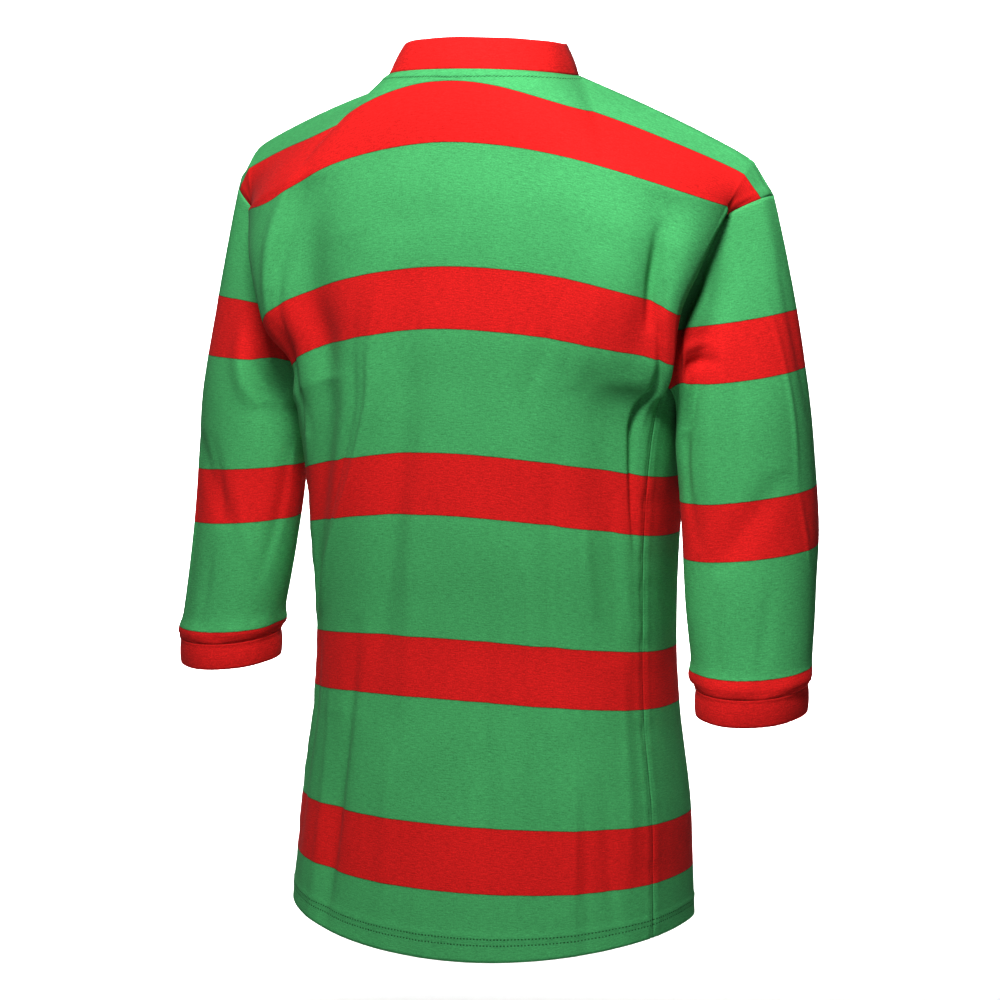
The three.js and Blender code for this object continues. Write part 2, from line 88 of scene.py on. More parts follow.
# Neckline and shoulder seam
NECK_HALF = 84
NECK_SIDE = {"y": 8, "z": -7}
NECK_BACK = {"y": 83, "z": 2}
NECK_V = {"y": -98, "z": -135}
NECK_SWAY = {"x": -3, "z": -3}
NECK_SHARE = 0.36
RIDGE_SHARE = 0.88
FRONT_RIDGE_TURN = 96
BACK_CREST = (7, 2, 0)
FRONT_CREST = (3, -1, 0)
# Powers that bend the neckline between the side of the neck and its centre
NECK_BEND = {"back": 0.6, "frontX": 0.9, "frontY": 1.25, "frontZ": 0.9}
# How much of the way over the shoulder follows an arc, outwards and downwards
OVER_ARC = {"out": 0.4, "down": 0.25}
# Powers by which a ring drops towards its sides, a shoulder row nears the armhole, and a
# fold fades towards its ends
SIDE_DROP_POWER = 1.8
ARMHOLE_POWER = 6
FADE_POWER = 0.7


def rows(names, values):
    """A table as a dictionary of columns."""
    return dict(zip(names.split(), np.array(values, float).T))


SHOULDER = rows("share x y z", [
    [0, 84, 8, -7],
    [0.3, 138, 3, -26],
    [0.6, 192, -2, -47],
    [0.8, 229, -5, -63],
    [0.9, 247, -7, -77],
    [1, 261, -8, -102],
])

# Rings round the body. drop is how far the sides hang below the centre, sag how far the
# front hangs below the back, and lean how far the wearer's left hangs below the middle,
# as the cloth sits a little unevenly.
RINGS = rows("t z half back front middle square drop sag lean seam", [
    [64, -59, 240, 100, 96, 0, 2.6, 60, 0, 15, 80],
    [116, -110, 241, 107, 104, 0, 2.6, 53, 4, 15, 76],
    [168, -163, 236, 109, 112, 0, 2.6, 41, 10, 17, 73],
    [221, -216, 208, 108, 116, 1, 2.5, 31, 16, 14, 72],
    [274, -269, 183, 106, 118, 0, 2.4, 25, 20, 11, 72],
    [380, -377, 172, 103, 114, 0, 2.3, 15, 22, 7, 72],
    [486, -486, 169, 102, 108, -5, 2.3, 7, 20, 5, 72],
    [539, -539, 171, 105, 110, -5, 2.3, 5, 18, 5, 72],
    [646, -648, 183, 116, 114, -4, 2.3, -3, 14, 5, 72],
    [704, -705, 186, 123, 116, -2, 2.3, -8, 10, 5, 72],
    [768, -765, 189, 129, 118, 0, 2.3, -22, 4, 3, 72],
])

# Armholes. The panel turns over at a ridge, and is sewn to the sleeve behind it.
ARMHOLE_BACK = rows("t ridgeX ridgeY ridgeZ seamX seamY seamZ", [
    [-14, 243, -8, -75, 261, -8, -102],
    [11, 243, 8, -86, 257, 4, -107],
    [64, 235, 22, -121, 228, 16, -132],
    [116, 221, 57, -166, 213, 34, -170],
    [168, 206, 68, -210, 195, 42, -212],
    [221, 199, 62, -253, 186, 44, -252],
    [248, 187, 49, -286, 178, 36, -272],
])
ARMHOLE_FRONT = rows("t ridgeX ridgeY ridgeZ seamX seamY seamZ", [
    [-14, 243, -8, -75, 261, -8, -102],
    [64, 236, -36, -114, 239, -38, -124],
    [116, 214, -64, -165, 210, -62, -174],
    [168, 200, -78, -206, 196, -70, -212],
    [210, 189, -74, -248, 189, -56, -242],
    [232, 184, -36, -270, 187, -10, -258],
    [248, 182, 18, -283, 178, 36, -272],
])

# How far the back of each armhole hangs off its even place: out, back and up
HANG = rows("t leftX leftY leftZ rightX rightY rightZ", [
    [-14, 0, 0, 0, 0, 0, 0],
    [64, -3, 0, 4, -4, 0, -4],
    [116, -12, 0, 2, -1, 0, -4],
    [168, -17, 0, -2, 1, 0, -5],
    [221, -28, -14, 0, 3, 0, -2],
    [248, -12, -5, 0, 4, 0, 0],
])

# Sleeve sections, keyed by how far they lie below the origin
# tilt is how far the back hangs below the middle, rise how far the outer side stands above
# it, and lift how much higher a whole section sits.
SLEEVE = rows("fall x y wide deep turn tilt leftRise rightRise rightLift", [
    [315, 242, -8, 58, 49, 22, 0, -4, 8, 0],
    [385, 249, -5, 58, 46, 22, 1, -6, 7, 0],
    [440, 253, 2, 56, 45, 22, 2, -5, 5, 1],
    [500, 259, 10, 51.5, 45, 18, 4, -3, 3, 3],
    [520, 261, 14, 49, 46, 10, 5, -2, 2, 4],
])
# The arms hang a little towards the wearer's left
ARM_SWAY = 5
SLEEVE_TOP = 315
SLEEVE_END = 520
# How the cloth of a sleeve leaves its armhole: outwards, more so under the arm
LEAVE_OUT = 0.26
LEAVE_OUT_UNDER = 1.6
LEAVE_SPREAD = 240
LEAVE_REACH = 0.9
UNDER_FROM = 190
UNDER_TO = 262
# The cap meets the tube in the tube's own direction, taken this far below the join. Its
# cloth is a little longer than its straight reach, and a little more is in the cuff's seam.
CAP_AIM = 10
CAP_LENGTH = 1.03
CUFF_SEAM = 2
CUFF_DEPTH = 24
CUFF_SET_IN = 1.5
BAND_HEIGHT = 26
BAND_LEAN = 14
BAND_BULGE = 0.9
CUFF_BULGE = 1.1
BAND_FRONT = {"lean": 8, "drop": 4}
BAND_CENTRE = (0, -8, 0)
# A cuff is set in at its seam over a share of its depth, and comes out again towards its edge
CUFF_STEP = {"share": 0.12, "flare": 0.4}
# The doubled bands bulge between their edges and are gently uneven, from this share on. Each
# wave is a number of times round, a start and a height.
CUFF_BULGE_POWER = 0.8
BAND_BULGE_SHARE = 0.85
UNEVEN_FROM = 0.3
BAND_WAVES = {"cuff": [(3, 0, 0.5), (7, 2, 0.35)], "neck": [(4, 1, 0.5), (9, 0, 0.3)]}

# The largest folds, which the solids have too. turn is the angle from centre back, positive
# towards the wearer's left; depth is positive for a ridge and negative for a trough.
FOLDS = rows("top bottom turnTop turnBottom reach depth", [
    [130, 470, 4, 54, 5, 4],
    [130, 470, 14, 66, 7, -7],
    [140, 560, 0, 24, 6, -4],
    [70, 250, 23, 31, 7, -12],
    [70, 240, -46, -50, 7, -10],
    [250, 500, -48, -58, 8, -5],
    [580, 768, -39, -41, 5, 3],
    [560, 768, 40, 34, 9, -5],
    [120, 420, 172, 160, 8, -5],
    [260, 768, -168, -176, 9, -4],
    [120, 300, -140, -130, 8, -8],
    [120, 300, 140, 130, 8, -8],
    [420, 768, 140, 146, 10, -5],
    [420, 768, -126, -132, 10, -5],
])
SLEEVE_FOLDS = rows("top bottom turnTop turnBottom reach depth", [
    [130, 300, 62, 150, 14, -6],
    [200, 360, 100, 170, 12, -4],
    [330, 420, 60, 120, 14, -3],
    [250, 505, -8, -14, 9, 2],
])

# Finer creases, each a soft ridge or trough from one place on the cloth to another. turn and t
# are as above, bow bends the line sideways, and left and right are how far it reaches towards
# the wearer's left and right, in millimetres.
BODY_CREASES = rows("turn1 t1 turn2 t2 bow left right depth", [
    [4, 136, 57, 466, -26, 3, 14, 4.6],
    [9, 150, 65, 474, -24, 16, 5, -4.6],
    [1, 160, 22, 545, -4, 9, 12, -2.2],
    [28, 56, 47, 178, 3, 10, 5, 3.2],
    [24, 58, 45, 222, 4, 7, 11, -4.6],
    [41, 150, 52, 300, 5, 12, 9, -3.4],
    [48, 250, 60, 330, -3, 6, 8, 2.2],
    [-46, 92, -50, 200, 3, 5, 9, -5.2],
    [-53, 140, -57, 205, 2, 6, 9, -2.2],
    [-55, 168, -70, 305, 6, 5, 10, 2.6],
    [-54, 184, -67, 400, -2, 3, 10, -6.5],
    [-55, 345, -66, 492, 3, 10, 7, -1.8],
    [-45, 372, -49, 460, 2, 7, 9, 1.6],
    [-40, 596, -41, 775, 1, 2.4, 3.4, 1.5],
    [-43, 610, -46, 772, 0, 6, 5, -1.4],
    [-8, 76, -11, 290, 3, 9, 11, 1.4],
    [-20, 96, -22, 330, -3, 9, 7, -1.9],
    [-31, 130, -34, 262, 2, 7, 9, 1.5],
    [-33, 300, -36, 560, 4, 12, 8, -3.4],
    [-24, 392, -27, 640, -3, 7, 10, 1.6],
    [6, 352, 9, 610, 3, 8, 11, 1.5],
    [-12, 430, -14, 716, 3, 9, 8, -1.7],
    [14, 560, 12, 775, -2, 7, 10, 1.5],
    [-24, 585, -23, 775, 2, 8, 9, -1.6],
    [29, 470, 34, 775, 4, 12, 8, -4.0],
    [45, 520, 43, 775, -3, 8, 11, 2.1],
    [56, 470, 60, 700, 3, 9, 10, -2.0],
    [-51, 596, -57, 775, 3, 9, 7, -2.0],
    [-62, 500, -60, 720, -2, 8, 9, 1.7],
    [2, 690, 1, 775, 1, 7, 6, 1.2],
    [176, 190, 170, 470, 5, 9, 12, -2.6],
    [163, 150, 150, 420, -8, 6, 13, 2.8],
    [150, 170, 132, 400, 7, 12, 8, -3.2],
    [-166, 160, -152, 440, 6, 12, 7, 2.6],
    [-151, 130, -138, 330, -5, 8, 12, -3.4],
    [-136, 200, -122, 420, 4, 9, 7, 2.2],
    [137, 110, 128, 250, 3, 9, 10, -2.6],
    [-178, 400, -171, 720, 4, 10, 9, 1.8],
    [161, 450, 166, 775, -4, 8, 11, -2.2],
    [144, 520, 139, 775, 3, 11, 8, 2.2],
    [-158, 500, -163, 775, 4, 9, 12, -2.4],
    [-141, 560, -136, 775, -3, 8, 9, 1.9],
    [-120, 470, -126, 740, 3, 11, 9, -2.2],
    [118, 430, 122, 690, -3, 9, 10, -2.1],
])
# The same on the sleeves, where turn 0 is the outer side and a quarter turn the back
SLEEVE_CREASES = {
    "left": rows("turn1 t1 turn2 t2 bow left right depth", [
        [92, 232, 138, 306, -6, 4, 8, 3.8],
        [104, 232, 150, 296, -5, 6, 5, -2.0],
        [158, 226, 198, 322, 4, 11, 8, -7.5],
        [142, 128, 116, 196, 3, 4, 6, -2.2],
        [132, 118, 104, 170, 2, 4, 4, 1.4],
        [150, 160, 128, 226, 2, 5, 4, -1.8],
        [58, 340, 63, 516, 3, 2.2, 3, 1.4],
        [86, 330, 108, 420, 4, 7, 6, -1.6],
        [120, 372, 150, 452, -3, 6, 8, 1.6],
        [176, 330, 158, 470, 5, 6, 9, -2.4],
        [100, 430, 96, 512, 2, 5, 7, -1.2],
        [20, 210, 34, 360, 4, 8, 7, -2.0],
        [-30, 190, -44, 380, 4, 8, 9, 2.2],
        [-70, 230, -96, 330, 4, 8, 7, -3.0],
        [-120, 300, -108, 470, 3, 7, 9, -2.0],
    ]),
    "right": rows("turn1 t1 turn2 t2 bow left right depth", [
        [98, 106, 144, 196, 5, 5, 8, -5.0],
        [84, 106, 128, 184, 5, 5, 8, 2.6],
        [112, 108, 166, 240, 4, 5, 7, -3.4],
        [112, 150, 150, 216, 3, 5, 5, -2.0],
        [150, 240, 100, 222, -4, 4, 4, 2.2],
        [154, 254, 98, 236, -4, 6, 4, -3.4],
        [45, 182, 43, 352, -3, 2.4, 3.4, 1.6],
        [43, 346, 28, 412, 2, 2.6, 3.6, 1.5],
        [150, 262, 138, 400, 5, 8, 7, -2.4],
        [122, 290, 128, 420, -4, 7, 9, 1.4],
        [86, 250, 96, 360, 3, 9, 6, -1.3],
        [70, 420, 78, 512, 2, 6, 7, -1.3],
        [118, 430, 122, 514, 2, 5, 7, -1.4],
        [18, 150, 10, 300, 4, 8, 8, -1.8],
        [-36, 200, -48, 390, 4, 8, 9, 2.2],
        [-74, 240, -98, 340, 4, 8, 7, -3.0],
        [-118, 300, -112, 470, 3, 7, 9, -2.0],
    ]),
}
BODY_ROUND = 3.1
SLEEVE_ROUND = 0.95

# The cloth over the left shoulder blade hangs slack, and the top hoop sags with it
SLACK = {"amount": 13, "turn": 38, "turnReach": 13, "t": 58, "tReach": 32}

# Small unevenness of the cloth: waves across and along in millimetres, and their height
RUMPLE = rows("across along start height", [
    [46, 71, 0.3, 0.34],
    [-33, 88, 1.9, 0.30],
    [61, -52, 4.1, 0.32],
    [27, 120, 2.6, 0.22],
    [-90, 39, 5.2, 0.20],
    [22, -64, 0.9, 0.14],
    [-17, 29, 3.4, 0.08],
])
# Seams: a groove at the join, a low ridge of turned-in cloth beside it, and puckers
SEAM_GROOVE = {"depth": 0.9, "reach": 1.6}
SEAM_RIDGE = {"height": 0.55, "place": 5.5, "reach": 2.8}
PUCKER = {"height": 0.34, "reach": 9, "waves": (8.3, 13.1, 21.7)}
HEM_RIDGE = {"height": 0.7, "place": 744, "reach": 3.2}
# How far in from a panel's edges its creases, seams and hem ridge reach their full height
PANEL_FADE = {"creases": 22, "seams": 1.5, "hem": 8}
# Between these shares of a row the folds of the solids fade out towards the armhole
FOLD_FADE = (0.8, 0.94)
# Beyond the neckline the distance from the neck seam jumps, so its stitches stop there
NECK_END = {"jump": 40, "share": 0.03}
# Behind an armhole's ridge the sleeve sinks in before it rounds out
SINK = {"depth": 12, "place": 11, "reach": 9, "from": 70, "full": 120, "last": 185}
# Above its cuff a sleeve blouses out in uneven waves, and tucks in at the seam
BLOUSE = {"height": 2.6, "place": 9, "reach": 9, "wide": 0.35, "fine": 0.2, "tuck": 3.4, "tuckReach": 3}
# The seam along the under side of a sleeve
UNDER_SEAM = {"depth": 0.9, "turn": -150, "reach": 2}
# How far from its ends a sleeve's creases and seams reach their full height
SLEEVE_FADE = {"top": 14, "end": 8, "seam": 1.5, "cuff": 0.5}
# Rows between which a sleeve's folds fade, counting one for the cap and one for the tube
SLEEVE_FOLD_ROWS = {"top": 0.43, "end": 1.71}
# Degrees from where a sleeve's grid closes on itself to where its rumple is full
CLOSING = 30

# Hoops: the red bands, by length down the body and by length up the sleeve from its cuff
BODY_HOOPS = [(13, 64), (168, 221), (327, 380), (486, 539), (646, 704)]
SLEEVE_HOOPS = {
    "left": [(0, 10), (106, 155), (263, 320)],
    "right": [(0, 16), (116, 165), (268, 318)],
}

# How finely each piece is divided
NECK_STEPS = 34
SHOULDER_STEPS = 44
EDGE_STEPS = 12
OVER_STEPS = 36
BACK_HOLE_STEPS = 56
FRONT_HOLE_STEPS = 34
BODY_STEPS = 170
SLEEVE_CAP_STEPS = 56
SLEEVE_STEPS = 74
BAND_STEPS = 12
# How widely, in rows, and how often the front's join across the chest is evened out, and
# the shares of a row between which this fades towards the armhole
EASE = {"reach": 9, "passes": 70, "shares": (0.75, 0.95)}


def read(table, name, at):
    """A monotone curve through one column of a table, keyed by its first column."""
    xs = next(iter(table.values()))
    ys = table[name]
    at = np.asarray(at, float)
    steps = np.diff(xs)
    slopes = np.diff(ys) / steps
    tangents = np.concatenate([slopes[:1], np.zeros(len(xs) - 2), slopes[-1:]])
    for i in range(1, len(xs) - 1):
        if slopes[i - 1] * slopes[i] > 0:
            before = 2 * steps[i] + steps[i - 1]
            after = steps[i] + 2 * steps[i - 1]
            tangents[i] = (before + after) / (before / slopes[i - 1] + after / slopes[i])
    i = np.clip(np.searchsorted(xs, at, side="right") - 1, 0, len(xs) - 2)
    s = (at - xs[i]) / steps[i]
    start = (1 + 2 * s) * (1 - s) ** 2 * ys[i] + s * (1 - s) ** 2 * steps[i] * tangents[i]
    end = s * s * (3 - 2 * s) * ys[i + 1] + s * s * (s - 1) * steps[i] * tangents[i + 1]
    return start + end


def smoothstep(x, low, high):
    s = np.clip((x - low) / (high - low), 0, 1)
    return s * s * (3 - 2 * s)


def stack(x, y, z):
    return np.stack(np.broadcast_arrays(x, y, z), -1).astype(float)


def mixed(a, b, share):
    share = np.asarray(share)[..., None]
    return a * (1 - share) + b * share


def unit(vectors):
    return vectors / (np.linalg.norm(vectors, axis=-1, keepdims=True) + 1e-12)


def ring_point(t, turn, side):
    """The body's ring at cloth length t, turned from centre back by an angle in degrees."""
    power = 2 / read(RINGS, "square", t)
    across = np.abs(np.sin(np.radians(turn))) ** power
    along = np.cos(np.radians(turn))
    depth = np.where(along >= 0, read(RINGS, "back", t), read(RINGS, "front", t))
    y = read(RINGS, "middle", t) + depth * np.sign(along) * np.abs(along) ** power
    uneven = read(RINGS, "lean", t) * across * side + read(RINGS, "sag", t) * (1 - along) / 2
    z = read(RINGS, "z", t) - read(RINGS, "drop", t) * across ** SIDE_DROP_POWER - uneven
    return stack(read(RINGS, "half", t) * across, y, z)


def armhole_point(is_back, kind, t, side):
    """A point of the armhole's ridge or seam, hung off its even place."""
    table = ARMHOLE_BACK if is_back else ARMHOLE_FRONT
    held = np.minimum(t, UNDERARM_T)
    on_left = np.asarray(side) > 0
    hang = stack(*[np.where(on_left, read(HANG, "left" + axis, held), read(HANG, "right" + axis, held))
                   for axis in "XYZ"])
    shared = np.asarray(1.0 if is_back else smoothstep(held, HANG_FRONT_T, UNDERARM_T))
    lean = read(RINGS, "lean", np.clip(t, YOKE_T, UNDERARM_T)) * side
    sunk = np.where(np.asarray(t) > SHOULDER_END_T, lean, 0)
    share = np.clip((np.asarray(t) - SHOULDER_END_T) / (YOKE_T - SHOULDER_END_T), 0, 1)
    x, y, z = [read(table, kind + axis, held) for axis in "XYZ"]
    return stack(x, y, z - sunk * share) + hang * shared[..., None]


def body_point(is_back, t, share, side):
    """One point of a full row. share runs from the centre line, 0, to the seam, 1."""
    t, share, side = np.broadcast_arrays(np.asarray(t, float), share, side)
    seam_turn = read(RINGS, "seam", t)
    towards = np.minimum(share / RIDGE_SHARE, 1)
    past = np.clip((share - RIDGE_SHARE) / (1 - RIDGE_SHARE), 0, 1)
    plain = ring_point(t, share * seam_turn if is_back else 180 - share * (180 - seam_turn), side)
    ridge_turn = seam_turn if is_back else np.full_like(t, FRONT_RIDGE_TURN)
    turn = towards * ridge_turn if is_back else 180 - towards * (180 - ridge_turn)
    ridge = armhole_point(is_back, "ridge", t, side)
    seam = armhole_point(is_back, "seam", t, side)
    stretch = (ridge - ring_point(t, ridge_turn, side)) * (towards ** 2)[..., None]
    upper = ring_point(t, turn, side) + stretch
    crest = (ridge + seam) / 2 + np.array(BACK_CREST if is_back else FRONT_CREST)
    p = past[..., None]
    turned = (1 - p) ** 2 * ridge + 2 * (1 - p) * p * crest + p * p * seam
    upper = np.where((share > RIDGE_SHARE)[..., None], turned, upper)
    return mixed(upper, plain, smoothstep(t, TORSO_BLEND_T, TORSO_T))


def top_edge(is_back, share, side):
    """The neckline and then the shoulder seam, from the centre line out to the armhole."""
    round_ = np.clip(share / NECK_SHARE, 0, 1)
    if is_back:
        turn = round_ * math.pi / 2
        bend = np.maximum(np.cos(turn), 0) ** NECK_BEND["back"]
        y = NECK_SIDE["y"] + (NECK_BACK["y"] - NECK_SIDE["y"]) * bend
        z = NECK_BACK["z"] + (NECK_SIDE["z"] - NECK_BACK["z"]) * round_ ** 2
        neck = stack(NECK_HALF * np.sin(turn), y, z)
        neck_t = NECK_SIDE_T * np.sin(turn) ** 2
    else:
        y = NECK_V["y"] + (NECK_SIDE["y"] - NECK_V["y"]) * round_ ** NECK_BEND["frontY"]
        z = NECK_SIDE["z"] + (NECK_V["z"] - NECK_SIDE["z"]) * (1 - round_) ** NECK_BEND["frontZ"]
        neck = stack(NECK_HALF * round_ ** NECK_BEND["frontX"], y, z)
        neck_t = FRONT_V_T + (NECK_SIDE_T - FRONT_V_T) * round_
    along = np.clip((share - NECK_SHARE) / (1 - NECK_SHARE), 0, 1)
    seam = stack(read(SHOULDER, "x", along), read(SHOULDER, "y", along), read(SHOULDER, "z", along))
    on_neck = share <= NECK_SHARE
    sway = np.where(on_neck, 1.0, (1 - along) ** 2) * side
    neck_sway = stack(NECK_SWAY["x"] * sway, 0, NECK_SWAY["z"] * sway * round_)
    point = np.where(on_neck[..., None], neck, seam) + neck_sway
    return point, np.where(on_neck, neck_t, NECK_SIDE_T + (SHOULDER_END_T - NECK_SIDE_T) * along)


def over_point(is_back, down, share, side):
    """A point between the top edge and the first full row, over the shoulder."""
    down, share, side = np.broadcast_arrays(np.asarray(down, float), share, side)
    first_t = YOKE_T if is_back else CHEST_T
    top, _ = top_edge(is_back, share, side)
    full = body_point(is_back, np.full_like(share, first_t), share, side)
    turn = down * math.pi / 2
    out = (1 - OVER_ARC["out"]) * down + OVER_ARC["out"] * np.sin(turn)
    drop = (1 - OVER_ARC["down"]) * down + OVER_ARC["down"] * (1 - np.cos(turn))
    point = top + (full - top) * np.stack([out, out, drop], -1)
    edge_t = SHOULDER_END_T + (first_t - SHOULDER_END_T) * down
    past = np.clip((share - RIDGE_SHARE) / (1 - RIDGE_SHARE), 0, 1)
    ridge = armhole_point(is_back, "ridge", edge_t, side)
    seam = armhole_point(is_back, "seam", edge_t, side)
    edge = mixed(ridge, seam, past)
    return mixed(point, edge, np.minimum(share / RIDGE_SHARE, 1) ** ARMHOLE_POWER)


def fold_lift(table, length, turn):
    """The largest folds, each a soft ridge or trough that fades at its ends."""
    lift = np.zeros(np.broadcast(length, turn).shape)
    for top, bottom, turn_top, turn_bottom, reach, depth in zip(*table.values()):
        along = np.clip((length - top) / (bottom - top), 0, 1)
        away = (turn - turn_top - (turn_bottom - turn_top) * along) / reach
        lift = lift + depth * np.exp(-away * away) * np.maximum(np.sin(math.pi * along), 0) ** FADE_POWER
    return lift


def crease_lift(table, turn, length, round_):
    """Ridges and troughs along lines of cloth; round_ is the millimetres in a degree of turn."""
    lift = np.zeros(np.broadcast(length, turn).shape)
    for turn1, t1, turn2, t2, bow, left, right, depth in zip(*table.values()):
        run = np.array([(turn2 - turn1) * round_, t2 - t1])
        size = np.hypot(*run)
        x = (turn - turn1) * round_
        y = length - t1
        along = (x * run[0] + y * run[1]) / size ** 2
        fade = np.sin(math.pi * np.clip(along, 0, 1))
        away = (x * run[1] - y * run[0]) / size - bow * fade
        reach = np.where(away > 0, left, right)
        lift = lift + depth * np.exp(-(away / reach) ** 2) * fade ** FADE_POWER
    return lift


def rumple_lift(across, along, seed):
    return sum(height * np.sin(across / a + along / b + start + seed)
               for a, b, start, height in zip(*RUMPLE.values()))


def seam_lift(away, along):
    """Groove, ridge and puckers at a distance from a seam."""
    groove = -SEAM_GROOVE["depth"] * np.exp(-(away / SEAM_GROOVE["reach"]) ** 2)
    ridge = SEAM_RIDGE["height"] * np.exp(-((away - SEAM_RIDGE["place"]) / SEAM_RIDGE["reach"]) ** 2)
    waves = sum(np.sin(along / wave * 2 + wave) for wave in PUCKER["waves"])
    return groove + ridge + PUCKER["height"] * waves * np.exp(-away / PUCKER["reach"])


def way_out(points, closed, outward):
    """The way out of the cloth at each point: rows run down, columns across."""
    down = np.empty_like(points)
    down[1:-1] = points[2:] - points[:-2]
    down[0] = points[1] - points[0]
    down[-1] = points[-1] - points[-2]
    if closed:
        across = np.roll(points, -1, 1) - np.roll(points, 1, 1)
    else:
        across = np.empty_like(points)
        across[:, 1:-1] = points[:, 2:] - points[:, :-2]
        across[:, 0] = points[:, 1] - points[:, 0]
        across[:, -1] = points[:, -1] - points[:, -2]
    return unit(np.cross(across, down) * outward)


def lengths_across(points):
    steps = np.linalg.norm(np.diff(points, axis=1), axis=-1)
    return np.concatenate([np.zeros((len(points), 1)), np.cumsum(steps, 1)], 1)


def lengths_down(points):
    return lengths_across(points.swapaxes(0, 1)).T


half_shares = np.concatenate([
    np.linspace(0, NECK_SHARE, NECK_STEPS + 1),
    np.linspace(NECK_SHARE, RIDGE_SHARE, SHOULDER_STEPS + 1)[1:],
    np.linspace(RIDGE_SHARE, 1, EDGE_STEPS + 1)[1:],
])
across_shares = np.concatenate([-half_shares[:0:-1], half_shares])


class Grid:
    """Points of the outer face of a piece, with the cloth's own coordinates."""

    def __init__(self, points, closed, outward, along):
        self.points = points
        self.closed = closed
        self.outward = outward
        self.along = along
        self.thick = np.full(points.shape[:2], float(CLOTH))

    def normals(self):
        return way_out(self.points, self.closed, self.outward)

    def lift(self, amount):
        self.points = self.points + self.normals() * amount[..., None]


def eased(points, along, row, share):
    """Rounds off the join between the rows over the shoulder and the full rows below them."""
    place = np.arange(1, len(points) - 1)[:, None]
    weight = np.exp(-((place - row) / EASE["reach"]) ** 2) * (1 - smoothstep(share, *EASE["shares"])) / 2
    along = along.copy()
    for _ in range(EASE["passes"]):
        points[1:-1] = mixed(points[1:-1], (points[:-2] + points[2:]) / 2, weight)
        along[1:-1] += ((along[:-2] + along[2:]) / 2 - along[1:-1]) * weight
    return points, along


def panel(is_back):
    """The back or the front of the body, from its neckline and shoulder seams to its hem."""
    first_t = YOKE_T if is_back else CHEST_T
    hole_steps = BACK_HOLE_STEPS if is_back else FRONT_HOLE_STEPS
    over = np.linspace(0, 1, OVER_STEPS + 1)[:-1]
    hole = np.linspace(first_t, UNDERARM_T, hole_steps + 1)
    body = np.linspace(UNDERARM_T, HEM_T, BODY_STEPS + 1)[1:]
    lengths = np.concatenate([hole, body])
    side = np.where(across_shares < 0, -1.0, 1.0)[None, :]
    share = np.abs(across_shares)[None, :]
    upper = over_point(is_back, over[:, None], share, side)
    lower = body_point(is_back, lengths[:, None], share, side)
    points = np.concatenate([upper, lower])
    points[..., 0] *= side
    _, top_t = top_edge(is_back, share, side)
    along = np.concatenate([top_t + (first_t - top_t) * over[:, None],
                            np.broadcast_to(lengths[:, None], lower.shape[:2])])
    if not is_back:
        points, along = eased(points, along, len(over), share)
    grid = Grid(points, False, 1 if is_back else -1, along)
    fold_t = np.concatenate([first_t * over, lengths])[:, None]
    seam_turn = read(RINGS, "seam", np.maximum(fold_t, YOKE_T))
    grid.turn = (share * seam_turn if is_back else 180 - share * (180 - seam_turn)) * side
    grid.fold_t = np.broadcast_to(fold_t, grid.turn.shape)
    grid.share = np.broadcast_to(share, grid.turn.shape)
    grid.lift(fold_lift(FOLDS, grid.fold_t, grid.turn) * (1 - smoothstep(grid.share, *FOLD_FADE)))
    grid.hole_rows = len(over) + len(hole) - 1
    grid.thick[grid.fold_t > HEM_T - HEM_DEPTH] = DOUBLED
    dress_panel(grid, is_back)
    return grid


def dress_panel(grid, is_back):
    """Creases, seams and hem of a panel. Its edges stay where the other pieces meet them."""
    across = lengths_across(grid.points)
    grid.from_side = np.minimum(across, across[:, -1:] - across)
    grid.from_top = lengths_down(grid.points)
    past_neck = smoothstep(grid.share, NECK_SHARE, NECK_SHARE + NECK_END["share"])
    grid.from_neck = grid.from_top + NECK_END["jump"] * past_neck
    fade = PANEL_FADE["creases"]
    inside = smoothstep(grid.from_side, 0, fade) * smoothstep(grid.from_top, 0, fade)
    creases = crease_lift(BODY_CREASES, grid.turn, grid.fold_t, BODY_ROUND)
    rumple = rumple_lift(across, grid.along, 0 if is_back else 2)
    seams = seam_lift(grid.from_side, grid.along) + seam_lift(grid.from_top, across)
    fade = PANEL_FADE["seams"]
    held = smoothstep(grid.from_side, 0, fade) * smoothstep(grid.from_top, 0, fade)
    hem = HEM_RIDGE["height"] * np.exp(-((grid.along - HEM_RIDGE["place"]) / HEM_RIDGE["reach"]) ** 2)
    hem = hem * smoothstep(grid.from_side, 0, PANEL_FADE["hem"])
    grid.lift((creases + rumple) * inside + seams * held + hem)
    if is_back:
        round_ = (grid.turn - SLACK["turn"]) / SLACK["turnReach"]
        down = (grid.fold_t - SLACK["t"]) / SLACK["tReach"]
        grid.along = grid.along - SLACK["amount"] * np.exp(-round_ ** 2 - down ** 2)


def sleeve_point(fall, turn, side):
    """Section of a sleeve; turn 0 is the outer side, a quarter turn the back."""
    fall, turn = np.broadcast_arrays(np.asarray(fall, float), turn)
    angle = np.radians(read(SLEEVE, "turn", fall))
    wide = read(SLEEVE, "wide", fall) * np.cos(turn)
    deep = read(SLEEVE, "deep", fall) * np.sin(turn)
    rise = read(SLEEVE, "leftRise" if side > 0 else "rightRise", fall)
    lift = 0 if side > 0 else read(SLEEVE, "rightLift", fall)
    return stack(read(SLEEVE, "x", fall) + ARM_SWAY * side + np.cos(angle) * wide + np.sin(angle) * deep,
                 read(SLEEVE, "y", fall) - np.sin(angle) * wide + np.cos(angle) * deep,
                 lift + rise * np.cos(turn) - read(SLEEVE, "tilt", fall) * np.sin(turn) - fall)


